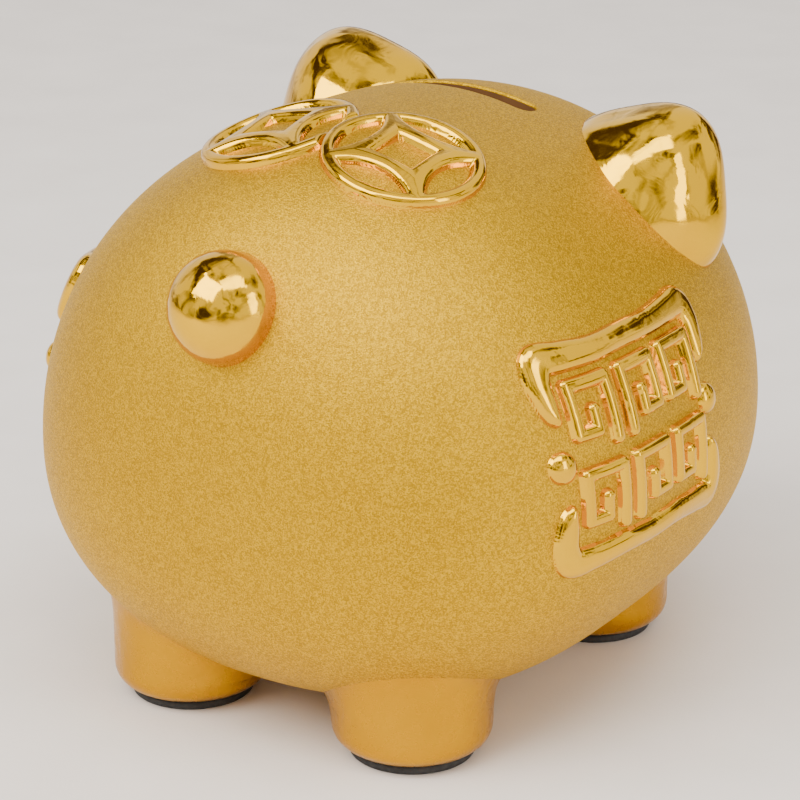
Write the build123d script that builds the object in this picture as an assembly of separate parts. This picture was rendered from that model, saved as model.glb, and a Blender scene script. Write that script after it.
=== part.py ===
from build123d import *
from math import atan2, cos, degrees, pi, radians, sin
import os

# A fat gold pig money bank, in millimetres: +Z up, the face towards -Y, the tail towards +Y.
# The origin is under the middle of the whole pig, at the bottom of the foot pads.

# body: half width, rise and drop from its middle, and reach to the face and to the rump
half_width = 70.0
rise = 72.0
drop = 51.0
face_reach = 91.0
rump_reach = 66.5
roundness = 2.65          # 2 is an ellipse, more is blunter at the face and the rump
outline_steps = 12        # points along half of the outline
wall = 4.0
belly_clearance = 4.5

# snout, eyes and tail
snout_half = (17.0, 13.0)
snout_length = 8.5
snout_z = 61.0
snout_round = 3.0
nostril = (3.2, 4.4)      # half sizes
nostril_depth = 5.0
nostril_spread = 6.5
eye_radius = 5.5
eye_x = 24.0
eye_z = 88.0
tail_radius = 11.6
tail_z = 98.5
tail_stretch = 10.0       # half length of the tail knob along the body

# legs and foot pads
leg_radius = 17.0
leg_x = 28.5
rear_leg_y = 34.4         # from the girth
front_leg_y = -43.2
leg_edge = 3.7
pad_thickness = 2.0

# ears: outline half width and height, depth, cup, how pointed, and turns about X, Y and Z
ear_half = (21.6, 23.5)
ear_depth = 23.3
ear_cup = (15.5, 11.0, 16.5)
ear_power = 1.5
ear_turns = (12.4, 30.3, 6.2)
ear_places = {"left": (34.3, -47.6, 107.9), "right": (39.7, -42.4, 102.8)}    # Y from the girth
ear_dome = ((0.0, 0.93), (0.12, 1.0), (0.35, 0.97), (0.6, 0.83), (0.8, 0.6), (0.93, 0.36))
ear_points = 24           # points round the outline

# coin slot, from the girth
slot_length = 40.0
slot_width = 6.5
slot_y = -27.0

# belly hole and its stopper
hole_radius = 15.0
seat_radius = 21.0
seat_z = 7.2
flange_radius = 19.0
flange_thickness = 1.8
plug_length = 9.0
plug_clearance = 0.06
grip_radius = 7.0
grip_depth = 5.0

# raised work on the back and the flanks
relief = 1.7
coin_radius = 17.0
coin_rim = 3.3
coin_places = {"left": 13.2, "right": 17.6}
coin_y = 20.5             # from the girth
coin_turn = 45.0
petal_inner = 8.5         # how near a petal comes to the coin's middle
petal_angle = 36.0        # from a petal's middle to its tips
coin_square = 8.8
ornament_front_y = -17.2  # from the girth
ornament_back_y = 34.6
upper_band_z = 90.0
lower_band_z = 50.2
band_width = 5.2
band_hook = 9.0
fret_columns = 3
fret_rows = 2
fret_cell = (13.6, 15.2)
fret_gap = (2.1, 2.2)
fret_stroke = 2.9
fret_pitch = 5.4          # from one turn of a spiral to the next
fret_back_y = 31.2        # from the girth
fret_z = 53.8
bead_radius = 3.3
flank_depth = 40.0        # how far in from the side the raised work's cutter reaches

# the girth, the body's widest section, lies behind the middle of the pig
tail_reach = rump_reach * (1 - ((tail_z - belly_clearance - drop) / rise) ** roundness) ** (1 / roundness)
girth_y = (face_reach + snout_length - tail_reach - tail_stretch) / 2
middle_z = belly_clearance + drop
top_z = middle_z + rise


def egg(margin):
    """The body's outside, moved out by margin: a round egg, stretched above and below its middle."""
    width = half_width + margin
    outline = [(0, -face_reach - margin)]
    for step in range(1, 2 * outline_steps):
        angle = pi * step / (2 * outline_steps)
        reach = (face_reach if step < outline_steps else rump_reach) + margin
        along = reach * abs(cos(angle)) ** (2 / roundness)
        outline.append((width * sin(angle) ** (2 / roundness), -along if step < outline_steps else along))
    outline.append((0, rump_reach + margin))
    curve = Spline(*outline, tangents=[(1, 0), (-1, 0)])
    side = make_face(Curve() + [curve, Line(outline[-1], outline[0])])
    quarter = revolve(side, Axis.Y, -90)
    upper = scale(quarter, by=(1, 1, (rise + margin) / width))
    lower = mirror(scale(quarter, by=(1, 1, (drop + margin) / width)), Plane.XY)
    left = upper + lower
    return Pos(0, girth_y, middle_z) * (left + mirror(left, Plane.YZ))


def body_y(x, z, front):
    """The outside's Y at the face or the rump, over a point of the XZ plane."""
    out = ((x / half_width) ** 2 + ((z - middle_z) / (rise if z > middle_z else drop)) ** 2) ** 0.5
    along = (1 - out ** roundness) ** (1 / roundness)
    return girth_y - face_reach * along if front else girth_y + rump_reach * along


def body_top(x, y):
    """The back's height at a point of the XY plane."""
    reach = rump_reach if y > girth_y else face_reach
    girth = (1 - (abs(y - girth_y) / reach) ** roundness) ** (1 / roundness)
    return middle_z + rise * (girth ** 2 - (x / half_width) ** 2) ** 0.5


def body_shell(outside):
    hollow = egg(-wall)
    slot = Pos(0, girth_y + slot_y, top_z) * Box(slot_length, slot_width, 6 * wall)
    hole = Cylinder(hole_radius, 8 * wall)
    seat = Cylinder(seat_radius, seat_z, align=(Align.CENTER, Align.CENTER, Align.MIN))
    return outside - hollow - slot - hole - seat


def leg(outside, x, y):
    bottom = Align.CENTER, Align.CENTER, Align.MIN
    drum = Pos(x, y, pad_thickness) * Cylinder(leg_radius, middle_z / 2, align=bottom)
    drum = fillet(drum.edges().group_by(Axis.Z)[0], leg_edge)
    return largest(drum - outside)


def foot_pad(x, y):
    return Pos(x, y, pad_thickness / 2) * Cylinder(leg_radius - leg_edge, pad_thickness)


def ear_outline(size, y):
    """A rounded triangle's upper half and its mirror image, at a depth y."""
    points = []
    for step in range(ear_points):
        angle = 2 * pi * step / ear_points
        across = abs(cos(angle)) ** (2 / ear_power) * (1 if cos(angle) >= 0 else -1)
        up = abs(sin(angle)) ** (2 / ear_power) * (1 if sin(angle) >= 0 else -1)
        points.append((size * ear_half[0] * across, y, size * ear_half[1] * up))
    return Wire([Edge.make_spline([Vector(*p) for p in points], periodic=True)])


def ear(outside, side):
    """A domed ear that leans forward, with a cup in the front."""
    outlines = [ear_outline(size, ear_depth * station) for station, size in ear_dome]
    dome = Solid.make_loft(outlines + [Vertex(0, ear_depth, 0)])
    hollowed = dome - scale(Sphere(1), by=ear_cup)
    x, y, z = ear_places[side]
    turned = Rot(0, 0, ear_turns[2]) * Rot(0, ear_turns[1], 0) * Rot(ear_turns[0], 0, 0) * hollowed
    placed = Pos(x, girth_y + y, z) * turned
    return largest((placed if side == "left" else mirror(placed, Plane.YZ)) - outside)


def tail_knob(outside):
    ball = scale(Sphere(1), by=(tail_radius, tail_stretch, tail_radius))
    return largest(Pos(0, girth_y + tail_reach, tail_z) * ball - outside)


def snout(outside):
    front_y = girth_y - face_reach - snout_length
    disc = extrude(Plane.XZ * Ellipse(*snout_half), -2 * snout_length - wall)
    disc = Pos(0, front_y, snout_z) * disc
    disc = fillet(disc.edges().group_by(Axis.Y)[0], snout_round)
    for side in (-1, 1):
        pit = extrude(Plane.XZ * Ellipse(*nostril), -nostril_depth)
        disc -= Pos(side * nostril_spread, front_y, snout_z) * pit
    return largest(disc - outside)


def eye(outside, side):
    y = body_y(eye_x, eye_z, front=True)
    return largest(Pos(side * eye_x, y, eye_z) * Sphere(eye_radius) - outside)


def belly_stopper():
    """A flanged rubber plug with a finger grip sunk in its underside."""
    bottom = Align.CENTER, Align.CENTER, Align.MIN
    flange = Pos(0, 0, seat_z - flange_thickness) * Cylinder(flange_radius, flange_thickness, align=bottom)
    plug = Pos(0, 0, seat_z) * Cylinder(hole_radius - plug_clearance, plug_length, align=bottom)
    grip = Pos(0, 0, seat_z - flange_thickness) * Cylinder(grip_radius, grip_depth, align=bottom)
    return flange + plug - grip


def coin_pattern():
    """A round coin seen from above: four petals and a square are left open."""
    inner = coin_radius - coin_rim
    tip = (inner * cos(radians(petal_angle)), inner * sin(radians(petal_angle)))
    rim_side = ThreePointArc((tip[0], -tip[1]), (inner, 0), tip)
    hub_side = ThreePointArc(tip, (petal_inner, 0), (tip[0], -tip[1]))
    petal = make_face(Curve() + [rim_side, hub_side])
    pattern = Circle(coin_radius) - Rot(0, 0, 45) * Rectangle(coin_square, coin_square)
    for turn in range(4):
        pattern -= Rot(0, 0, 45 + 90 * turn) * petal
    return pattern


def on_back(sketch, x):
    """A cutter that stands square to the back's slope, where a coin lies."""
    y = girth_y + coin_y
    slope_x = (body_top(x + 1, y) - body_top(x - 1, y)) / 2
    slope_y = (body_top(x, y + 1) - body_top(x, y - 1)) / 2
    place = Plane(origin=(x, y, body_top(x, y)), x_dir=(1, 0, slope_x), z_dir=(-slope_x, -slope_y, 1))
    return extrude(place * Rot(0, 0, coin_turn) * sketch, coin_radius, both=True)


def back_coin(raised, outside, x):
    return (raised & on_back(coin_pattern(), x)) - outside


def stroke(start, end, width):
    """A straight stroke with round ends, in the plane of the pig's length and height."""
    along = Vector(*end) - Vector(*start)
    middle = (Vector(*end) + Vector(*start)) / 2
    bar = SlotCenterToCenter(along.length, width)
    return Pos(middle.X, middle.Y) * Rot(0, 0, degrees(atan2(along.Y, along.X))) * bar


def flank_side(raised, outside, sketch):
    """Work raised on the left flank, over a sketch of the pig's length and height."""
    side = Plane(origin=(half_width + wall, 0, 0), x_dir=(0, 1, 0), z_dir=(1, 0, 0))
    return (raised & extrude(side * sketch, -flank_depth)) - outside


def scroll_band(z, hook):
    """A bar with both ends turned the same way: hook is how far they reach up."""
    front, back = girth_y + ornament_front_y, girth_y + ornament_back_y
    sketch = stroke((front, z), (back, z), band_width)
    for end in (front, back):
        sketch += stroke((end, z), (end, z + hook), band_width)
    return sketch


def fret_panel():
    """Rows of square spirals, each the mirror image of the one beside it."""
    wide, high = fret_cell[0] - fret_stroke, fret_cell[1] - fret_stroke
    step = fret_pitch
    turns = [(0, 0), (0, high), (wide, high), (wide, step / 2), (step, step / 2), (step, high - step)]
    turns.append((wide - step, high - step))
    sketch = Sketch()
    for column in range(fret_columns):
        for row in range(fret_rows):
            left = girth_y + fret_back_y - wide - fret_stroke / 2 - column * (fret_cell[0] + fret_gap[0])
            low = fret_z + row * (fret_cell[1] + fret_gap[1]) + fret_stroke / 2
            for start, end in zip(turns, turns[1:]):
                flip = [(wide - p[0] if column % 2 else p[0], p[1]) for p in (start, end)]
                sketch += Pos(left, low) * stroke(*flip, fret_stroke)
    return sketch


def bead(y):
    """A round bead halfway between the two bands' ends."""
    return Pos(girth_y + y, (upper_band_z + lower_band_z) / 2) * Circle(bead_radius)


def largest(shape):
    return max(shape.solids(), key=lambda solid: solid.volume)


def write(name, shape):
    shape.label = name
    export_step(shape, f"parts/{name}.step")


os.makedirs("parts", exist_ok=True)
outside = egg(0)
raised = egg(relief)

write("body_shell", body_shell(outside))
write("tail_knob", tail_knob(outside))
write("snout", snout(outside))
write("belly_stopper", belly_stopper())
for side, name in ((1, "left"), (-1, "right")):
    write(f"{name}_ear", ear(outside, name))
    write(f"{name}_eye", eye(outside, side))
    for y, end in ((front_leg_y, "front"), (rear_leg_y, "rear")):
        write(f"{end}_{name}_leg", leg(outside, side * leg_x, girth_y + y))
        write(f"{end}_{name}_pad", foot_pad(side * leg_x, girth_y + y))

right_x, left_x = -coin_places["right"], coin_places["left"]
write("right_back_coin", back_coin(raised, outside, right_x))
write("left_back_coin", back_coin(raised, outside, left_x) - on_back(Circle(coin_radius), right_x))

ornament = {"upper_band": scroll_band(upper_band_z, -band_hook), "fret_panel": fret_panel()}
ornament["lower_band"] = scroll_band(lower_band_z, band_hook)
for y, end in ((ornament_front_y, "front"), (ornament_back_y, "back")):
    ornament[f"{end}_bead"] = bead(y)
for name, sketch in ornament.items():
    piece = flank_side(raised, outside, sketch)
    write(f"left_{name}", piece)
    write(f"right_{name}", mirror(piece, Plane.YZ))
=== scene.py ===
from math import cos, pi, radians, sin
import bpy
import numpy as np
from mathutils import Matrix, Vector


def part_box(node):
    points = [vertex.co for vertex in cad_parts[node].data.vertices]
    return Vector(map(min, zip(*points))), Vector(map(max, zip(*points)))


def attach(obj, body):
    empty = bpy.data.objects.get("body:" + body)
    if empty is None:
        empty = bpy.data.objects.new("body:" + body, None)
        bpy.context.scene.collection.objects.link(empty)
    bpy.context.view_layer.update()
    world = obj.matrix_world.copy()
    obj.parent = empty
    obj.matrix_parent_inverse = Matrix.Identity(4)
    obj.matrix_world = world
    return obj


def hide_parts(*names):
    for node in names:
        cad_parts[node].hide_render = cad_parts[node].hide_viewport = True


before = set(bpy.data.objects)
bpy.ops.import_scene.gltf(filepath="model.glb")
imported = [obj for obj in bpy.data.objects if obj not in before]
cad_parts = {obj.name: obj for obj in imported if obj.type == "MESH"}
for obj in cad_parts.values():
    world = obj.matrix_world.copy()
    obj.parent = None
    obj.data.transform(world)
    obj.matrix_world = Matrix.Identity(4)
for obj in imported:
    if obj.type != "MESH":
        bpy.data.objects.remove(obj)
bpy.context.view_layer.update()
MM = 0.001
POLE = 0.01               # the angle at which a dome stops short of its own middle, in radians

# the body's shape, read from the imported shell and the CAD's own rules
SHELL_LOW, SHELL_HIGH = (np.array(corner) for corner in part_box("body_shell"))
HALF_WIDTH = SHELL_HIGH[0]
RUMP_REACH = 66.5 * MM
FACE_REACH = SHELL_HIGH[1] - SHELL_LOW[1] - RUMP_REACH
RISE = 72 * MM
DROP = 51 * MM
GIRTH_Y = SHELL_HIGH[1] - RUMP_REACH
MIDDLE_Z = SHELL_HIGH[2] - RISE
BLUNT = 2.65
BELLY_FULL = 2.2          # how square the lower half is; 2 is an ellipse
WALL = 4 * MM
MIDDLE = np.array([0.0, GIRTH_Y, MIDDLE_Z])
SLOPE_STEP = 0.05 * MM    # how far to each side the formula is read for a slope
LEAST_SLOPE = 1           # keeps a travel finite where a direction runs along the body
TRAVEL_LIMIT = 8 * MM
TRAVEL_ROUNDS = 25


# ---- the body's outside as a formula ----

def level(points, margin=0.0):
    """1 on the body's outside moved out by margin, less inside, more outside."""
    x, y, z = (points - MIDDLE).T
    reach = np.where(y > 0, RUMP_REACH, FACE_REACH) + margin
    height = np.where(z > 0, RISE, DROP) + margin
    power = np.where(z > 0, 2.0, BELLY_FULL)
    out = (np.abs(x / (HALF_WIDTH + margin)) ** power + np.abs(z / height) ** power) ** (1 / power)
    return (out ** BLUNT + np.abs(y / reach) ** BLUNT) ** (1 / BLUNT)


def normals(points):
    """The body's outward directions at points on it."""
    offsets = SLOPE_STEP * np.eye(3)
    slopes = [level(points + offset) - level(points - offset) for offset in offsets]
    slope = np.stack(slopes, axis=1)
    return slope / np.linalg.norm(slope, axis=1)[:, None]


def onto_body(points, directions):
    """Moves each point along its own direction, both ways, until it lies on the body."""
    moved = points.copy()
    offsets = SLOPE_STEP * directions
    for _ in range(TRAVEL_ROUNDS):
        slope = (level(moved + offsets) - level(moved - offsets)) / (2 * SLOPE_STEP)
        slope = np.where(np.abs(slope) < LEAST_SLOPE, LEAST_SLOPE, slope)
        travel = np.clip((level(moved) - 1) / slope, -TRAVEL_LIMIT, TRAVEL_LIMIT)
        moved -= travel[:, None] * directions
    return moved


# ---- mesh helpers ----

def make_piece(name, vertices, faces, body, nodes, material):
    """A smooth mesh that stands for CAD nodes and rides on their body."""
    mesh = bpy.data.meshes.new(name)
    mesh.from_pydata([tuple(v) for v in vertices], [], [tuple(f) for f in faces])
    mesh.polygons.foreach_set("use_smooth", [True] * len(mesh.polygons))
    mesh.materials.append(material)
    mesh.update()
    piece = bpy.data.objects.new(name, mesh)
    bpy.context.scene.collection.objects.link(piece)
    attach(piece, body)
    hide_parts(*nodes)
    return piece


def grid_faces(rows, columns, closed=False, start=0):
    """Quads of a grid of points, stored row by row; closed joins the last column to the first."""
    faces = []
    for row in range(rows - 1):
        for column in range(columns if closed else columns - 1):
            beside = (column + 1) % columns
            low, high = start + row * columns, start + (row + 1) * columns
            faces.append((low + column, low + beside, high + beside, high + column))
    return faces


def flipped(faces):
    """The same faces, facing the other way."""
    return [face[::-1] for face in faces]


def ring_angles(count):
    """Angles all round, in count even steps."""
    return np.linspace(0, 2 * pi, count, endpoint=False)


def smooth_line(points, steps):
    """A smooth open line through points, with steps stretches between each pair."""
    points = np.array(points, dtype=float)
    padded = np.vstack([2 * points[0] - points[1], points, 2 * points[-1] - points[-2]])
    line = []
    for i in range(len(points) - 1):
        a, b, c, d = padded[i:i + 4]
        for t in np.linspace(0, 1, steps, endpoint=False):
            curve = 2 * b + (c - a) * t + (2 * a - 5 * b + 4 * c - d) * t ** 2
            line.append(0.5 * (curve + (3 * b - a - 3 * c + d) * t ** 3))
    line.append(points[-1])
    return np.array(line)


def lathe(profile, centre, axis, segments=96):
    """Points and faces of a profile of (radius, height) turned about an axis through centre."""
    axis = np.array(axis, dtype=float) / np.linalg.norm(axis)
    helper = np.array([1.0, 0, 0]) if abs(axis[0]) < 0.9 else np.array([0, 1.0, 0])
    across = helper - axis * (helper @ axis)
    across /= np.linalg.norm(across)
    up = np.cross(axis, across)
    angles = ring_angles(segments)
    ring = np.outer(np.cos(angles), across) + np.outer(np.sin(angles), up)
    points = [np.array(centre) + radius * ring + height * axis for radius, height in profile]
    return np.vstack(points), grid_faces(len(profile), segments, closed=True)


def cube_ball(count):
    """Directions and quads of a cube blown up to a ball, count quads along each edge."""
    ticks = np.tan(np.linspace(-pi / 4, pi / 4, count + 1))
    u, v = np.meshgrid(ticks, ticks)
    u, v, one = u.ravel(), v.ravel(), np.ones(u.size)
    sides = [(one, u, v), (-one, v, u), (v, one, u), (u, -one, v), (u, v, one), (v, u, -one)]
    points = np.vstack([np.stack(side, axis=1) for side in sides])
    faces = []
    for number in range(6):
        faces += grid_faces(count + 1, count + 1, start=number * u.size)
    keys, index = np.unique(np.round(points, 6), axis=0, return_inverse=True)
    index = index.ravel()
    return keys / np.linalg.norm(keys, axis=1)[:, None], index[np.array(faces)]


def strip(rows):
    """Points and faces of closed rows of points, each row as long as the others."""
    return np.vstack(rows), grid_faces(len(rows), len(rows[0]), closed=True)


# ---- materials ----

class Nodes:
    """A material's node tree, with short calls to add and join nodes."""

    def __init__(self, name):
        self.material = bpy.data.materials.new(name)
        self.material.use_nodes = True
        self.tree = self.material.node_tree
        self.shader = self.tree.nodes["Principled BSDF"]
        coordinates = self.tree.nodes.new("ShaderNodeTexCoord")
        self.place = coordinates.outputs["Object"]

    def set(self, socket, value):
        self.shader.inputs[socket].default_value = value

    def noise(self, scale, detail=2.0, roughness=0.5, distortion=0.0):
        node = self.tree.nodes.new("ShaderNodeTexNoise")
        node.inputs["Scale"].default_value = scale
        node.inputs["Detail"].default_value = detail
        node.inputs["Roughness"].default_value = roughness
        node.inputs["Distortion"].default_value = distortion
        self.tree.links.new(self.place, node.inputs["Vector"])
        return node.outputs["Fac"]

    def cells(self, scale, output="Color"):
        node = self.tree.nodes.new("ShaderNodeTexVoronoi")
        node.inputs["Scale"].default_value = scale
        self.tree.links.new(self.place, node.inputs["Vector"])
        return node.outputs[output]

    def ramp(self, factor, *stops):
        """A colour for each position along factor."""
        node = self.tree.nodes.new("ShaderNodeValToRGB")
        ends = node.color_ramp.elements
        while len(ends) < len(stops):
            ends.new(0.5)
        for end, (position, colour) in zip(ends, stops):
            end.position = position
            end.color = (*colour, 1)
        self.tree.links.new(factor, node.inputs["Fac"])
        return node.outputs["Color"]

    def spread(self, factor, low, high, start=0.0, end=1.0):
        """A number from low to high as factor goes from start to end."""
        node = self.tree.nodes.new("ShaderNodeMapRange")
        for name, value in (("From Min", start), ("From Max", end), ("To Min", low), ("To Max", high)):
            node.inputs[name].default_value = value
        self.tree.links.new(factor, node.inputs["Value"])
        return node.outputs["Result"]

    def mix(self, part, first, second):
        """A colour between two colours, where part is how much of the second one it has."""
        node = self.tree.nodes.new("ShaderNodeMix")
        node.data_type = "RGBA"
        node.inputs["Factor"].default_value = part
        self.tree.links.new(first, node.inputs["A"])
        self.tree.links.new(second, node.inputs["B"])
        return node.outputs["Result"]

    def bump(self, height, distance, strength=1.0, under=None):
        node = self.tree.nodes.new("ShaderNodeBump")
        node.inputs["Strength"].default_value = strength
        node.inputs["Distance"].default_value = distance
        self.tree.links.new(height, node.inputs["Height"])
        if under:
            self.tree.links.new(under, node.inputs["Normal"])
        return node.outputs["Normal"]

    def link(self, output, socket):
        self.tree.links.new(output, self.shader.inputs[socket])


def frosted_gold():
    """Gold plating over a sand-blown glaze: quarter-millimetre grains that catch the light one by one."""
    nodes = Nodes("frosted_gold")
    nodes.set("Metallic", 1.0)
    grains = nodes.cells(3800)
    dark, middling, bright = (0.28, 0.145, 0.0), (0.56, 0.315, 0.0), (0.86, 0.54, 0.0)
    tint = nodes.ramp(grains, (0.25, dark), (0.5, middling), (0.75, bright))
    cloud = nodes.ramp(nodes.noise(22, detail=4), (0.35, (0.55, 0.30, 0.0)), (0.65, (0.60, 0.34, 0.0)))
    nodes.link(nodes.mix(0.5, tint, cloud), "Base Color")
    nodes.link(nodes.spread(nodes.noise(2600, detail=3, roughness=0.7), 0.40, 0.62, 0.3, 0.7), "Roughness")
    coarse = nodes.bump(nodes.noise(3200, detail=2), 0.05 * MM, 0.6)
    nodes.link(nodes.bump(nodes.cells(3800, "Distance"), 0.09 * MM, 1.0, coarse), "Normal")
    return nodes.material


def mirror_gold():
    """Bright plating over a hand-smoothed glaze, with slow ripples and a few faint dull spots."""
    nodes = Nodes("mirror_gold")
    nodes.set("Metallic", 1.0)
    tone = nodes.ramp(nodes.noise(45, detail=3), (0.3, (0.76, 0.41, 0.0)), (0.7, (0.80, 0.455, 0.0)))
    nodes.link(tone, "Base Color")
    nodes.link(nodes.spread(nodes.noise(240, detail=4), 0.06, 0.17, 0.35, 0.75), "Roughness")
    wide = nodes.bump(nodes.noise(50, detail=1, distortion=0.8), 1.4 * MM, 0.6)
    slow = nodes.bump(nodes.noise(150, detail=2, distortion=1.0), 0.30 * MM, 0.5, wide)
    nodes.link(nodes.bump(nodes.noise(1500, detail=2), 0.012 * MM, 0.4, slow), "Normal")
    return nodes.material


def leg_gold():
    """Plating over brushed-on glaze: smooth but wavy, duller than the ears."""
    nodes = Nodes("leg_gold")
    nodes.set("Metallic", 1.0)
    tone = nodes.ramp(nodes.noise(60, detail=4), (0.3, (0.54, 0.26, 0.0)), (0.7, (0.60, 0.305, 0.0)))
    nodes.link(tone, "Base Color")
    nodes.link(nodes.spread(nodes.noise(300, detail=3), 0.20, 0.36, 0.3, 0.7), "Roughness")
    wave = nodes.bump(nodes.noise(110, detail=2, distortion=0.6), 0.9 * MM, 0.5)
    nodes.link(nodes.bump(nodes.noise(1600, detail=2), 0.04 * MM, 0.5, wave), "Normal")
    return nodes.material


def bare_ceramic():
    """The unglazed inside of the casting, coloured a dark warm brown."""
    nodes = Nodes("bare_ceramic")
    tone = nodes.ramp(nodes.noise(90, detail=5), (0.3, (0.10, 0.035, 0.004)), (0.7, (0.17, 0.07, 0.012)))
    nodes.link(tone, "Base Color")
    nodes.link(nodes.spread(nodes.noise(500), 0.6, 0.85), "Roughness")
    nodes.link(nodes.bump(nodes.noise(700, detail=4), 0.15 * MM, 0.7), "Normal")
    return nodes.material


def foam_rubber():
    """Closed-cell foam with fine pits."""
    nodes = Nodes("foam_rubber")
    tone = nodes.ramp(nodes.noise(800, detail=4), (0.3, (0.010, 0.010, 0.011)), (0.7, (0.035, 0.034, 0.033)))
    nodes.link(tone, "Base Color")
    nodes.link(nodes.spread(nodes.noise(400, detail=2), 0.6, 0.82), "Roughness")
    nodes.link(nodes.bump(nodes.cells(1500, "Distance"), 0.12 * MM, 0.7), "Normal")
    return nodes.material


def stopper_rubber():
    """Moulded rubber, slightly shiny where hands have rubbed it."""
    nodes = Nodes("stopper_rubber")
    tone = nodes.ramp(nodes.noise(150, detail=5), (0.3, (0.018, 0.018, 0.020)), (0.7, (0.045, 0.044, 0.043)))
    nodes.link(tone, "Base Color")
    nodes.link(nodes.spread(nodes.noise(120, detail=3), 0.42, 0.66, 0.3, 0.7), "Roughness")
    nodes.link(nodes.bump(nodes.noise(1400, detail=3), 0.05 * MM, 0.6), "Normal")
    return nodes.material


def black_glaze():
    """Thick black glaze with a little orange peel."""
    nodes = Nodes("black_glaze")
    tone = nodes.ramp(nodes.noise(200, detail=3), (0.3, (0.006, 0.005, 0.005)), (0.7, (0.020, 0.016, 0.014)))
    nodes.link(tone, "Base Color")
    nodes.set("Coat Weight", 0.6)
    nodes.link(nodes.spread(nodes.noise(300), 0.05, 0.16), "Roughness")
    nodes.link(nodes.bump(nodes.noise(350, detail=2), 0.05 * MM, 0.4), "Normal")
    return nodes.material


FROSTED, MIRROR, LEG = frosted_gold(), mirror_gold(), leg_gold()
INSIDE, FOAM, STOPPER, GLAZE = bare_ceramic(), foam_rubber(), stopper_rubber(), black_glaze()


# ---- the shell ----

SLOT_HALF = (20 * MM, 3.25 * MM)
SLOT_Y = GIRTH_Y - 27 * MM
SLOT_CORNER = 2.6 * MM
SLOT_LIP = 0.7 * MM
HOLE_RADIUS = 15 * MM
SEAT_RADIUS = 21 * MM
FLANGE_THICKNESS = 1.8 * MM
SEAT_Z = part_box("belly_stopper")[0][2] + FLANGE_THICKNESS
OUTSIDE_QUADS, INSIDE_QUADS = 110, 48    # along each edge of the blown-up cube
SLOT_CUT = 3.4 * MM                      # where the outside's quads stop, from the slot and the seat
SEAT_CUT = 2.2 * MM
SLOT_COLLAR = (5 * MM, 4 * MM, 3 * MM, 2 * MM)    # the finer rows of points round the slot
SEAT_COLLAR = (4 * MM, 2.5 * MM, 0.8 * MM)        # and round the seat
UNDERLAP, OVERLAP = 0.04 * MM, 0.01 * MM          # a collar's edge is under the outside, the rest over it
RIM_GAP = 0.3 * MM        # how far the wall's rows run past its edges
HOLE_GAP = 0.1 * MM
BELLY_POINTS = 96


def shell_side(margin, count, keep):
    """One side of the casting: the body's formula, without the quads that keep turns down."""
    directions, faces = cube_ball(count)
    points = MIDDLE + directions / level(MIDDLE + directions, margin)[:, None]
    middles = points[faces].mean(axis=1)
    return points, faces[keep(middles)]


def slot_gap(points):
    """Distance from the coin slot's edge, seen from above; less than 0 inside it."""
    x = np.abs(points[:, 0]) - SLOT_HALF[0] + SLOT_CORNER
    y = np.abs(points[:, 1] - SLOT_Y) - SLOT_HALF[1] + SLOT_CORNER
    outside = np.hypot(np.maximum(x, 0), np.maximum(y, 0))
    return outside + np.minimum(np.maximum(x, y), 0) - SLOT_CORNER


def away_from_holes(points, slot_reach, hole_reach):
    """True for points further than the reaches from the slot's edge and the belly hole's middle."""
    above = points[:, 2] > MIDDLE_Z
    return np.where(above, slot_gap(points) > slot_reach, np.hypot(points[:, 0], points[:, 1]) > hole_reach)


def slot_outline(grow, corners=14, edges=24):
    """Points round the slot's edge, moved out by grow."""
    radius = SLOT_CORNER + grow
    points = []
    for quarter, (side_x, side_y) in enumerate(((1, 1), (-1, 1), (-1, -1), (1, -1))):
        centre_x = side_x * (SLOT_HALF[0] - SLOT_CORNER)
        centre_y = side_y * (SLOT_HALF[1] - SLOT_CORNER)
        for angle in np.linspace(quarter * pi / 2, (quarter + 1) * pi / 2, corners):
            points.append((centre_x + radius * cos(angle), centre_y + radius * sin(angle)))
        if side_x == side_y:
            flat = np.linspace(centre_x, -centre_x, edges + 2)[1:-1]
            points += [(x, centre_y + side_y * radius) for x in flat]
    return np.array(points) + (0, SLOT_Y)


def raise_to(outline, margin=0.0):
    """Points over an outline in the XY plane, on the upper half of the body moved out by margin."""
    points = np.column_stack([outline, np.full(len(outline), MIDDLE_Z + RISE)])
    x, y = points[:, 0] / (HALF_WIDTH + margin), points[:, 1] - GIRTH_Y
    reach = np.where(y > 0, RUMP_REACH, FACE_REACH) + margin
    girth = (1 - np.abs(y / reach) ** BLUNT) ** (1 / BLUNT)
    points[:, 2] = MIDDLE_Z + (RISE + margin) * np.sqrt(girth ** 2 - x ** 2)
    return points


def slot_rim():
    """The slot's rolled edge: down from the back and round the lip."""
    rows = [raise_to(slot_outline(SLOT_COLLAR[0])) - (0, 0, UNDERLAP)]
    rows += [raise_to(slot_outline(grow)) + (0, 0, OVERLAP) for grow in SLOT_COLLAR[1:]]
    for angle in np.linspace(0, pi / 2, 9):
        grow = SLOT_LIP * (1 - sin(angle))
        rows.append(raise_to(slot_outline(grow)) - (0, 0, SLOT_LIP * (1 - cos(angle))))
    return strip(rows)


def slot_wall():
    """The bare wall of the slot, from under its lip to the inside."""
    top = raise_to(slot_outline(0)) - (0, 0, SLOT_LIP)
    low = raise_to(slot_outline(0), -WALL) - (0, 0, RIM_GAP)
    return strip([top + (low - top) * part for part in np.linspace(0, 1, 5)])


def underside(x, y, margin=0.0):
    """Points of the lower half of the body, moved out by margin, under points of the XY plane."""
    reach = np.where(y > GIRTH_Y, RUMP_REACH, FACE_REACH) + margin
    girth = (1 - np.abs((y - GIRTH_Y) / reach) ** BLUNT) ** (1 / BLUNT)
    side = np.abs(x / (HALF_WIDTH + margin)) ** BELLY_FULL
    drop = (DROP + margin) * np.maximum(girth ** BELLY_FULL - side, 0) ** (1 / BELLY_FULL)
    return np.column_stack([x, y, MIDDLE_Z - drop])


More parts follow.
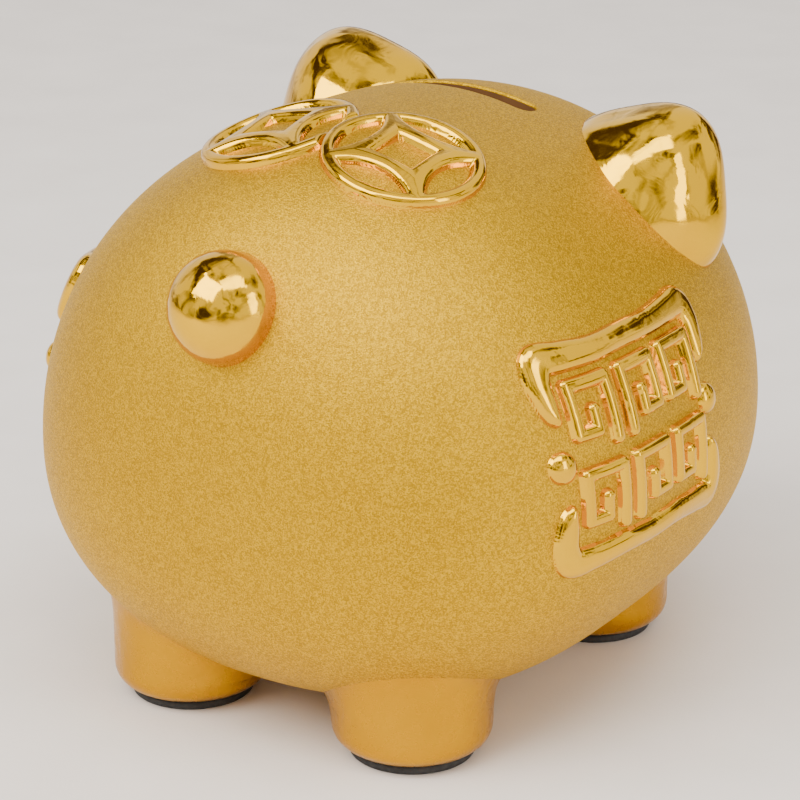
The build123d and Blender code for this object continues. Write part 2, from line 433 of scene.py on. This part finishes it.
def belly_low(radius, margin=0.0):
    """The underside in a circle round the belly hole."""
    angles = ring_angles(BELLY_POINTS)
    return underside(radius * np.cos(angles), radius * np.sin(angles), margin)


def ring(radius, z):
    """A level circle round the belly hole."""
    angles = ring_angles(BELLY_POINTS)
    return np.column_stack([radius * np.cos(angles), radius * np.sin(angles), np.full(BELLY_POINTS, z)])


def belly_rim():
    """The sunk seat round the belly hole, and the hole's wall."""
    rows = [belly_low(SEAT_RADIUS + SEAT_COLLAR[0]) + (0, 0, UNDERLAP)]
    rows += [belly_low(SEAT_RADIUS + grow) - (0, 0, OVERLAP) for grow in SEAT_COLLAR[1:]]
    edge = belly_low(SEAT_RADIUS)
    edge[:, 2] = np.minimum(edge[:, 2] + 0.2 * MM, SEAT_Z)
    rows += [edge, ring(SEAT_RADIUS - RIM_GAP, SEAT_Z), ring(HOLE_RADIUS + 1.0 * MM, SEAT_Z)]
    rows.append(ring(HOLE_RADIUS + HOLE_GAP, SEAT_Z + RIM_GAP))
    rows.append(belly_low(HOLE_RADIUS + HOLE_GAP, -WALL) + (0, 0, RIM_GAP))
    points, faces = strip(rows)
    return points, flipped(faces)


def join(*parts):
    """One list of points and faces out of several."""
    points, faces, start = [], [], 0
    for part_points, part_faces in parts:
        points.append(part_points)
        faces += [tuple(start + np.array(face)) for face in part_faces]
        start += len(part_points)
    return np.vstack(points), faces


def body_shell():
    """The plated outside with its two rims, and the bare inside with the slot's wall."""
    outside = shell_side(0, OUTSIDE_QUADS, lambda p: away_from_holes(p, SLOT_CUT, SEAT_RADIUS + SEAT_CUT))
    points, faces = join(outside, slot_rim(), belly_rim())
    make_piece("shell", points, faces, "bank", ["body_shell"], FROSTED)
    inside = shell_side(-WALL, INSIDE_QUADS, lambda p: away_from_holes(p, 0, HOLE_RADIUS))
    points, faces = join((inside[0], flipped(inside[1])), slot_wall())
    make_piece("shell_inside", points, faces, "bank", ["body_shell"], INSIDE)


body_shell()


# ---- legs, pads and tail ----

PAD_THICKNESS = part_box("rear_left_pad")[1][2]
LEG_RADIUS = 17 * MM
LEG_EDGE = 4.6 * MM
LEG_FLARE = 2.2 * MM
FLARE_REACH = 2.4 * MM    # how far down the leg the flare fades
LEG_SINK = 0.8 * MM       # how far the leg's top runs into the body
LEG_POINTS = 120
LEG_SOLE = (0.2 * MM, 6 * MM, LEG_RADIUS - LEG_EDGE)    # radii of the sole's rings
PAD_EDGE = 0.45 * MM
PAD_BULGE = 0.15 * MM
CENTRE_HOLE = 0.1 * MM    # the radius at which a turned face stops short of its own middle
TAIL_RADIUS, TAIL_LENGTH = 11.6 * MM, 10.6 * MM
TAIL_ROOT = ((0.0, 0.6), (0.12, 1.2), (0.3, 1.8), (0.5, 2.8))    # how much wider, how far into the body


def middle_of(node):
    """The middle of a node's box."""
    low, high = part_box(node)
    return (np.array(low) + np.array(high)) / 2


def leg(end, side):
    """A short drum with a rolled bottom edge, which flares a little where it meets the body."""
    node = f"{end}_{side}_leg"
    centre = middle_of(node)
    angles = ring_angles(LEG_POINTS)
    turn = np.column_stack([np.cos(angles), np.sin(angles)])
    flared = centre[:2] + (LEG_RADIUS + LEG_FLARE) * turn
    top = underside(flared[:, 0], flared[:, 1])[:, 2] + LEG_SINK
    level_row = np.ones(LEG_POINTS)
    rows = [np.column_stack([centre[:2] + radius * turn, PAD_THICKNESS * level_row]) for radius in LEG_SOLE]
    for angle in np.linspace(0, pi / 2, 10)[1:]:
        radius = LEG_RADIUS - LEG_EDGE * (1 - sin(angle))
        height = PAD_THICKNESS + LEG_EDGE * (1 - cos(angle))
        rows.append(np.column_stack([centre[:2] + radius * turn, height * level_row]))
    base = PAD_THICKNESS + LEG_EDGE
    for part in np.linspace(0, 1, 22)[1:]:
        height = base + (top - base) * part
        flare = LEG_FLARE * np.exp((height - top) / FLARE_REACH)
        radius = (LEG_RADIUS + flare)[:, None]
        rows.append(np.column_stack([centre[:2] + radius * turn, height]))
    points, faces = strip(rows)
    make_piece(node + "_cast", points, faces, "bank", [node], LEG)


def foot_pad(end, side):
    """A die-cut foam disc, its edge a little rounded and its face dished."""
    node = f"{end}_{side}_pad"
    low, high = (np.array(corner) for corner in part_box(node))
    radius, thick = (high[0] - low[0]) / 2, high[2] - low[2]
    profile = [(CENTRE_HOLE, 0.15 * MM), (0.6 * radius, 0.1 * MM), (0.85 * radius, 0.0)]
    for angle in np.linspace(0, pi / 2, 6):
        profile.append((radius - PAD_EDGE * (1 - sin(angle)), PAD_EDGE * (1 - cos(angle))))
    profile += [(radius + PAD_BULGE, thick / 2), (radius, thick - PAD_EDGE)]
    profile += [(radius - PAD_EDGE, thick), (CENTRE_HOLE, thick)]
    points, faces = lathe(profile, (*middle_of(node)[:2], low[2]), (0, 0, 1))
    make_piece(node + "_foam", points, faces, "bank", [node], FOAM)


def body_spot(x, z, front):
    """A point of the face or the rump and the body's normal there."""
    point = np.array([[x, SHELL_LOW[1] if front else SHELL_HIGH[1], z]])
    spot = onto_body(point, np.array([[0.0, 1.0, 0.0]]))
    return spot[0], normals(spot)[0]


def tail_knob():
    """A ball that swells a little where it is luted on."""
    spot, normal = body_spot(0.0, middle_of("tail_knob")[2], front=False)
    profile = [(TAIL_RADIUS * sin(a), TAIL_LENGTH * cos(a)) for a in np.linspace(POLE, pi / 2, 40)]
    profile += [(TAIL_RADIUS + swell * MM, -drop * MM) for swell, drop in TAIL_ROOT]
    points, faces = lathe(profile, spot, normal, segments=144)
    make_piece("tail_ball", points, flipped(faces), "bank", ["tail_knob"], MIRROR)


for side in ("left", "right"):
    for end in ("front", "rear"):
        leg(end, side)
        foot_pad(end, side)
tail_knob()


# ---- ears ----

EAR_HALF = (21.6 * MM, 23.5 * MM)
EAR_POINTS = 160
EAR_WAIST = 0.05          # half of how far the outline is drawn in on its diagonals
EAR_TURNS = [radians(turn) for turn in (12.4, 30.3, 6.2)]
EAR_PLACES = {"left": np.array([34.3, -47.6, 107.9]) * MM, "right": np.array([39.7, -42.4, 102.8]) * MM}
# the ear's section from the middle of its back to the bottom of its cup, as
# (part of its half size, millimetres back from its front)
EAR_BACK = [(0.01, 23.3), (0.2, 23.0), (0.42, 21.2), (0.62, 18.3), (0.8, 14.2), (0.92, 9.5), (0.985, 5.6)]
EAR_RIM = [(1.0, 3.3), (0.985, 1.2), (0.94, -0.1), (0.88, -0.1), (0.835, 1.2)]
EAR_CUP = [(0.80, 3.6), (0.68, 8.0), (0.5, 12.1), (0.25, 15.4), (0.01, 16.4)]


def turn_about(points, axis, angle):
    """Points turned about X, Y or Z through the origin."""
    first, second = (axis + 1) % 3, (axis + 2) % 3
    turned = points.copy()
    turned[:, first] = points[:, first] * cos(angle) - points[:, second] * sin(angle)
    turned[:, second] = points[:, second] * cos(angle) + points[:, first] * sin(angle)
    return turned


def ear(side):
    """A domed, forward-leaning ear with a rounded rim and a cup in front."""
    sign = 1 if side == "left" else -1
    angles = ring_angles(EAR_POINTS)
    outline = 1 - EAR_WAIST + EAR_WAIST * np.cos(4 * angles)
    rows = []
    for size, depth in smooth_line(EAR_BACK + EAR_RIM + EAR_CUP, 5):
        across = size * EAR_HALF[0] * outline * np.cos(angles)
        up = size * EAR_HALF[1] * outline * np.sin(angles)
        row = np.column_stack([across, np.full(EAR_POINTS, depth * MM), up])
        for axis, angle in enumerate(EAR_TURNS):
            row = turn_about(row, axis, angle)
        rows.append((row + EAR_PLACES[side]) * (sign, 1, 1) + (0, GIRTH_Y, 0))
    points, faces = strip(rows)
    faces = flipped(faces) if side == "right" else faces
    make_piece(side + "_ear_shell", points, faces, "bank", [side + "_ear"], MIRROR)


for side in ("left", "right"):
    ear(side)


# ---- face ----

SNOUT_POINTS = 192
SNOUT_DISH, SNOUT_DISH_SIZE = 0.5, 0.78    # millimetres that the face is dished, and its part of the snout
# the snout's edge and root, as (part of its half sizes, millimetres back from the front)
SNOUT_EDGE = [(0.84, 0.1), (0.90, 0.5), (0.95, 1.2), (0.985, 2.3), (1.0, 3.8), (1.0, 5.5), (1.0, 7.2)]
SNOUT_ROOT = [(1.01, 8.4), (1.05, 9.6), (1.10, 10.8), (1.13, 12.5), (1.14, 15.0)]
NOSTRIL_HALF = (3.2 * MM, 4.4 * MM)
NOSTRIL_SPREAD = 6.5 * MM
NOSTRIL_DEPTH = 4.2 * MM
NOSTRIL_SIZE, NOSTRIL_STEEPNESS = 0.85, 14
EYE_RADIUS, EYE_RISE = 5.2 * MM, 4.4 * MM
EYE_SINK, EYE_ROOT = 0.3 * MM, 1.5 * MM
EYE_RING_RADIUS, EYE_RING_RISE, EYE_RING_THICKNESS = 6.0 * MM, 0.35 * MM, 0.95 * MM


def snout():
    """An oval snout, dished in front, with two smooth nostrils and a rolled root."""
    low, high = (np.array(corner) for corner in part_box("snout"))
    half = ((high[0] - low[0]) / 2, (high[2] - low[2]) / 2)
    front, centre_z = low[1], (low[2] + high[2]) / 2
    angles = ring_angles(SNOUT_POINTS)
    sizes = np.linspace(0.005, SNOUT_DISH_SIZE, 46)
    dish = [(size, SNOUT_DISH * (1 - (size / SNOUT_DISH_SIZE) ** 2)) for size in sizes]
    rows = []
    for size, depth in dish + SNOUT_EDGE + SNOUT_ROOT:
        x, z = size * half[0] * np.cos(angles), size * half[1] * np.sin(angles)
        nostril = np.hypot((np.abs(x) - NOSTRIL_SPREAD) / NOSTRIL_HALF[0], z / NOSTRIL_HALF[1])
        pit = NOSTRIL_DEPTH / (1 + np.exp((nostril - NOSTRIL_SIZE) * NOSTRIL_STEEPNESS))
        pit = pit if size <= SNOUT_DISH_SIZE else 0 * x
        rows.append(np.column_stack([x, front + depth * MM + pit, centre_z + z]))
    points, faces = strip(rows)
    make_piece("snout_cast", points, flipped(faces), "bank", ["snout"], MIRROR)


def eye(side):
    """A glazed dome in a thin plated ring."""
    node = side + "_eye"
    centre = middle_of(node)
    spot, normal = body_spot(centre[0], centre[2], front=True)
    dome = [(EYE_RADIUS * sin(a), EYE_RISE * cos(a) - EYE_SINK) for a in np.linspace(POLE, pi / 2, 24)]
    dome.append((EYE_RADIUS, -EYE_ROOT))
    points, faces = lathe(dome, spot, normal)
    make_piece(node + "_dome", points, flipped(faces), "bank", [node], GLAZE)
    turns = np.linspace(pi, -0.6, 18)
    thick = EYE_RING_THICKNESS
    band = [(EYE_RING_RADIUS + thick * cos(a), EYE_RING_RISE + thick * sin(a)) for a in turns]
    points, faces = lathe(band, spot, normal)
    make_piece(node + "_ring", points, flipped(faces), "bank", [node], MIRROR)


snout()
for side in ("left", "right"):
    eye(side)


# ---- raised work ----

RELIEF = 1.75 * MM
SINK = 0.35 * MM
CROWN, CROWN_REACH = 0.22, 4 * MM    # how much higher the middle is, and how far in from the edge
FLANK_GRID = 0.2                     # millimetres


def pillow(depth, edge):
    """Raised work's height at a depth inside its outline: a rounded edge, then a low crown."""
    inside = np.clip(depth / edge, 0, 1)
    crown = 1 + CROWN * np.clip(depth / CROWN_REACH, 0, 1)
    return np.where(depth > 0, RELIEF * crown * np.sqrt(1 - (1 - inside) ** 2), np.maximum(depth, -SINK))


def relief_sheet(depth, points, edge):
    """Points and faces of raised work over a grid of points of the body; it dives under where it ends."""
    rows, columns = depth.shape
    height = pillow(depth.ravel(), edge)
    raised = points + height[:, None] * normals(points)
    faces = np.array(grid_faces(rows, columns))
    kept = faces[depth.ravel()[faces].max(axis=1) > -SINK]
    used, index = np.unique(kept, return_inverse=True)
    return raised[used], index.reshape(kept.shape)


def path_depth(y, z, path):
    """Depth inside a stroke through points of (y, z, half width), with round ends."""
    best = np.full(y.shape, -1.0)
    for (y0, z0, w0), (y1, z1, w1) in zip(path, path[1:]):
        along = ((y - y0) * (y1 - y0) + (z - z0) * (z1 - z0)) / ((y1 - y0) ** 2 + (z1 - z0) ** 2)
        along = np.clip(along, 0, 1)
        gap = np.hypot(y - y0 - along * (y1 - y0), z - z0 - along * (z1 - z0))
        best = np.maximum(best, w0 + along * (w1 - w0) - gap)
    return best


def flank_points(y, z, side):
    """Points of the flank at places along the pig and up it."""
    reach = np.where(y > GIRTH_Y, RUMP_REACH, FACE_REACH)
    height = np.where(z > MIDDLE_Z, RISE, DROP)
    power = np.where(z > MIDDLE_Z, 2.0, BELLY_FULL)
    out = (1 - np.abs((y - GIRTH_Y) / reach) ** BLUNT) ** (1 / BLUNT)
    x = HALF_WIDTH * (out ** power - np.abs((z - MIDDLE_Z) / height) ** power) ** (1 / power)
    return np.column_stack([side * x.ravel(), y.ravel(), z.ravel()])


# the ornament, in millimetres: its middle from the girth and up, and a band's back half as
# (back from the middle, up from the middle, half width)
PANEL_Y, PANEL_Z = 8.7, 70.1
BAND = [(0.0, 20.0, 2.5), (10.0, 19.8, 2.6), (19.0, 20.2, 2.9), (24.4, 20.2, 3.2), (26.2, 17.0, 2.9)]
BAND += [(26.0, 12.8, 2.5), (25.6, 10.4, 2.0), (25.0, 9.0, 1.2)]
BEAD_Y, BEAD_RADIUS, BEAD_STRETCH = 25.9, 3.2, 0.1
FRET_COLUMNS, FRET_ROWS = 3, 2
FRET_CELL = (13.6, 15.2)
FRET_GAP = (2.1, 2.2)
FRET_STROKE = 3.1
FRET_PITCH = 5.4
FRET_BACK_Y = 31.2
FRET_Z = 53.8
BAND_EDGE, FRET_EDGE, BEAD_EDGE = 2.0 * MM, 1.15 * MM, 2.6 * MM    # how wide the rounded edges are


def fret_paths():
    """Rows of square spirals, each the mirror image of the one beside it."""
    wide, high = FRET_CELL[0] - FRET_STROKE, FRET_CELL[1] - FRET_STROKE
    step = FRET_PITCH
    turns = [(0, 0), (0, high), (wide, high), (wide, step / 2), (step, step / 2), (step, high - step)]
    turns.append((wide - step, high - step))
    paths = []
    for column in range(FRET_COLUMNS):
        for row in range(FRET_ROWS):
            left = FRET_BACK_Y - wide - FRET_STROKE / 2 - column * (FRET_CELL[0] + FRET_GAP[0])
            low = FRET_Z + row * (FRET_CELL[1] + FRET_GAP[1]) + FRET_STROKE / 2
            across = [wide - a if column % 2 else a for a, _ in turns]
            paths.append([(left + a, low + b, FRET_STROKE / 2) for a, (_, b) in zip(across, turns)])
    return paths


def flank_work(name, paths, edge, side):
    """One piece of a flank's ornament, raised on the body along its strokes."""
    stops = np.array([stop for path in paths for stop in path])
    spare = stops[:, 2].max() + 1
    along = np.arange(stops[:, 0].min() - spare, stops[:, 0].max() + spare, FLANK_GRID)
    up = np.arange(stops[:, 1].min() - spare, stops[:, 1].max() + spare, FLANK_GRID)
    y, z = np.meshgrid(along, up)
    depth = np.max([path_depth(y, z, path) for path in paths], axis=0) * MM
    sign = 1 if side == "left" else -1
    points = flank_points(GIRTH_Y + y * MM, z * MM, sign)
    vertices, faces = relief_sheet(depth, points, edge)
    node = f"{side}_{name}"
    faces = faces if sign > 0 else faces[:, ::-1]
    make_piece(node + "_relief", vertices, faces, "bank", [node], MIRROR)


def band_path(up):
    """A band's stroke over the panel (up = 1) or under it (up = -1), the same at both ends."""
    stops = [(-along, rise, half) for along, rise, half in BAND[:0:-1]] + BAND
    line = smooth_line([(PANEL_Y + along, PANEL_Z + up * rise, half) for along, rise, half in stops], 6)
    return [tuple(stop) for stop in line]


def bead_path(end):
    """A bead between the bands' ends, before (end = -1) or behind the panel (end = 1)."""
    place = PANEL_Y + end * BEAD_Y
    return [(place, PANEL_Z - BEAD_STRETCH, BEAD_RADIUS), (place, PANEL_Z + BEAD_STRETCH, BEAD_RADIUS)]


for side in ("left", "right"):
    flank_work("upper_band", [band_path(1)], BAND_EDGE, side)
    flank_work("lower_band", [band_path(-1)], BAND_EDGE, side)
    flank_work("fret_panel", fret_paths(), FRET_EDGE, side)
    flank_work("front_bead", [bead_path(-1)], BEAD_EDGE, side)
    flank_work("back_bead", [bead_path(1)], BEAD_EDGE, side)


# ---- coins ----

COIN_RADIUS = 17 * MM
COIN_RIM = 3.3 * MM
COIN_PLACES = {"left": 13.2 * MM, "right": -17.6 * MM}
COIN_Y = GIRTH_Y + 20.5 * MM
COIN_TURN = radians(45)
PETAL_INNER = 8.5 * MM
PETAL_ANGLE = radians(36)
COIN_SQUARE = 4.4 * MM    # half its side
COIN_GRID = 0.22 * MM
COIN_SPARE = 0.8 * MM     # how far the grid runs past the coin
COIN_EDGE = 1.25 * MM


def coin_depth(u, v):
    """Depth inside a coin's metal: its rim, less four petals and a square."""
    inner = COIN_RADIUS - COIN_RIM
    tip = np.array([inner * cos(PETAL_ANGLE), inner * sin(PETAL_ANGLE)])
    sagitta = tip[0] - PETAL_INNER
    arc = (tip[1] ** 2 + sagitta ** 2) / (2 * sagitta)
    distance = np.hypot(u, v)
    depth = COIN_RADIUS - distance
    for quarter in range(4):
        angle = pi / 4 + quarter * pi / 2
        centre = (PETAL_INNER + arc) * np.array([cos(angle), sin(angle)])
        petal = np.minimum(inner - distance, arc - np.hypot(u - centre[0], v - centre[1]))
        depth = np.minimum(depth, -petal)
    across, up = (u + v) / np.sqrt(2), (v - u) / np.sqrt(2)
    square = np.maximum(np.abs(across), np.abs(up)) - COIN_SQUARE
    return np.minimum(depth, square)


def back_coin(side):
    """A coin on the back, square to its slope; the right coin covers the left one's edge."""
    spot = onto_body(np.array([[COIN_PLACES[side], COIN_Y, SHELL_HIGH[2]]]), np.array([[0.0, 0.0, 1.0]]))
    normal = normals(spot)[0]
    across = np.array([1.0, 0, -normal[0] / normal[2]])
    across /= np.linalg.norm(across)
    along = np.cross(normal, across)
    ticks = np.arange(-COIN_RADIUS - COIN_SPARE, COIN_RADIUS + COIN_SPARE, COIN_GRID)
    u, v = np.meshgrid(ticks, ticks)
    flat = spot + u.ravel()[:, None] * across + v.ravel()[:, None] * along
    points = onto_body(flat, np.tile(normal, (u.size, 1)))
    turned_u = u * cos(COIN_TURN) + v * sin(COIN_TURN)
    turned_v = v * cos(COIN_TURN) - u * sin(COIN_TURN)
    depth = coin_depth(turned_u, turned_v)
    if side == "left":
        gap = np.hypot(points[:, 0] - COIN_PLACES["right"], points[:, 1] - COIN_Y) - COIN_RADIUS
        depth = np.minimum(depth, gap.reshape(u.shape))
    vertices, faces = relief_sheet(depth, points, COIN_EDGE)
    node = side + "_back_coin"
    make_piece(node + "_relief", vertices, faces, "bank", [node], MIRROR)


for side in ("left", "right"):
    back_coin(side)


# ---- belly stopper ----

PLUG_CLEARANCE = 0.06 * MM
GRIP_RADIUS, GRIP_DEPTH = 7 * MM, 5 * MM
GROOVE_PLACES = (0.2, 0.5, 0.8)    # parts of the plug's length
GROOVE_DEPTH = 0.5 * MM
GROOVE_FLOOR, GROOVE_MOUTH = 0.3 * MM, 0.9 * MM    # half widths
EDGE_BEVEL = 0.15 * MM


def stopper_face(flange, thick):
    """The underside's outline, from the middle of the finger recess over a raised ring to the flange."""
    grip = GRIP_RADIUS
    profile = [(CENTRE_HOLE, GRIP_DEPTH), (grip - 1.2 * MM, GRIP_DEPTH), (grip - 0.3 * MM, 4.2 * MM)]
    profile += [(grip, 0.6 * MM), (grip + 0.6 * MM, 0.05 * MM), (10.5 * MM, 0.0), (10.9 * MM, 0.35 * MM)]
    profile += [(11.7 * MM, 0.35 * MM), (12.1 * MM, 0.0), (flange - 1.1 * MM, 0.05 * MM)]
    return profile + [(flange - 0.3 * MM, 0.45 * MM), (flange, 1.0 * MM), (flange - 0.2 * MM, thick)]


def belly_stopper():
    """A soft plug: rounded flange, ringed face with a finger recess, and shallow grooves round the plug."""
    low, high = (np.array(corner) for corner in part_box("belly_stopper"))
    thick, length = SEAT_Z - low[2], high[2] - SEAT_Z
    plug = HOLE_RADIUS - PLUG_CLEARANCE
    profile = stopper_face((high[0] - low[0]) / 2, thick) + [(plug, thick)]
    for part in GROOVE_PLACES:
        middle = thick + part * length
        profile += [(plug, middle - GROOVE_MOUTH), (plug - GROOVE_DEPTH, middle - GROOVE_FLOOR)]
        profile += [(plug - GROOVE_DEPTH, middle + GROOVE_FLOOR), (plug, middle + GROOVE_MOUTH)]
    profile += [(plug - 0.8 * MM, thick + length), (CENTRE_HOLE, thick + length)]
    points, faces = lathe(profile, (0, 0, low[2]), (0, 0, 1))
    piece = make_piece("stopper_plug", points, faces, "stopper", ["belly_stopper"], STOPPER)
    bevel = piece.modifiers.new("soft_edges", "BEVEL")
    bevel.width = EDGE_BEVEL
    bevel.segments = 2


belly_stopper()


# ---- stage, camera and light ----

CAMERA_AZIMUTH = 212.6
CAMERA_ELEVATION = 19.9
CAMERA_DISTANCE = 667 * MM
CAMERA_LENS = 134.8
AIM = MIDDLE + np.array([5.5, -14.0, 0.7]) * MM
SENSOR_WIDTH = 36
CLIP_START = 0.05
TABLE_HALF = 4.0
# softboxes: azimuth and elevation in degrees, distance, width and height, power, colour
SOFTBOXES = {"window": (158, 46, 1.3, (1.0, 0.8), 18, (1.0, 0.98, 0.95)),
             "overhead": (235, 66, 1.2, (0.9, 0.5), 7.5, (1.0, 0.99, 0.97)),
             "fill": (268, 18, 1.4, (0.35, 0.9), 5, (1.0, 0.97, 0.93))}
WALL_DARK = (0.41, (0.06, 0.04, 0.03, 1))    # where the noise turns a wall dark and pale, and the colours
WALL_PALE = (0.54, (1.0, 0.96, 0.92, 1))
ROOM_STRENGTH = 1.45


def away(azimuth, elevation):
    """The direction towards someone who looks at the pig from an azimuth and an elevation."""
    a, e = radians(azimuth), radians(elevation)
    return Vector((sin(a) * cos(e), -cos(a) * cos(e), sin(e)))


def floor():
    """A pale cloth-covered table top."""
    nodes = Nodes("pale_cloth")
    tone = nodes.ramp(nodes.noise(30, detail=4), (0.3, (0.83, 0.78, 0.73)), (0.7, (0.88, 0.83, 0.78)))
    nodes.link(tone, "Base Color")
    nodes.link(nodes.spread(nodes.noise(400), 0.75, 0.9), "Roughness")
    nodes.link(nodes.bump(nodes.noise(1200, detail=2), 0.1 * MM, 0.4), "Normal")
    mesh = bpy.data.meshes.new("table_top")
    corners = [(x * TABLE_HALF, y * TABLE_HALF, 0) for x, y in ((-1, -1), (1, -1), (1, 1), (-1, 1))]
    mesh.from_pydata(corners, [], [(0, 1, 2, 3)])
    mesh.materials.append(nodes.material)
    table = bpy.data.objects.new("table_top", mesh)
    bpy.context.scene.collection.objects.link(table)


def camera():
    """The camera at its viewing angle, aimed a little off the body's middle."""
    data = bpy.data.cameras.new("camera")
    data.lens = CAMERA_LENS
    data.sensor_width = SENSOR_WIDTH
    data.clip_start = CLIP_START
    view = bpy.data.objects.new("camera", data)
    back = away(CAMERA_AZIMUTH, CAMERA_ELEVATION)
    view.location = Vector(AIM) + CAMERA_DISTANCE * back
    view.rotation_euler = back.to_track_quat("Z", "Y").to_euler()
    bpy.context.scene.collection.objects.link(view)
    bpy.context.scene.camera = view


def softbox(name, azimuth, elevation, distance, size, power, colour):
    """A rectangular light that faces the pig."""
    data = bpy.data.lights.new(name, "AREA")
    data.shape = "RECTANGLE"
    data.size, data.size_y = size
    data.energy = power
    data.color = colour
    light = bpy.data.objects.new(name, data)
    direction = away(azimuth, elevation)
    light.location = Vector(MIDDLE) + distance * direction
    light.rotation_euler = direction.to_track_quat("Z", "Y").to_euler()
    bpy.context.scene.collection.objects.link(light)


def room():
    """Pale walls that darken here and there, for the polished gold to mirror."""
    world = bpy.data.worlds.new("room")
    world.use_nodes = True
    tree = world.node_tree
    place = tree.nodes.new("ShaderNodeTexCoord").outputs["Generated"]
    patches = tree.nodes.new("ShaderNodeTexNoise")
    patches.inputs["Scale"].default_value = 2.2
    patches.inputs["Detail"].default_value = 3.0
    patches.inputs["Distortion"].default_value = 0.6
    walls = tree.nodes.new("ShaderNodeValToRGB")
    for end, (position, colour) in zip(walls.color_ramp.elements, (WALL_DARK, WALL_PALE)):
        end.position = position
        end.color = colour
    background = tree.nodes["Background"]
    background.inputs["Strength"].default_value = ROOM_STRENGTH
    tree.links.new(place, patches.inputs["Vector"])
    tree.links.new(patches.outputs["Fac"], walls.inputs["Fac"])
    tree.links.new(walls.outputs["Color"], background.inputs["Color"])
    bpy.context.scene.world = world


floor()
camera()
for name, setting in SOFTBOXES.items():
    softbox(name, *setting)
room()
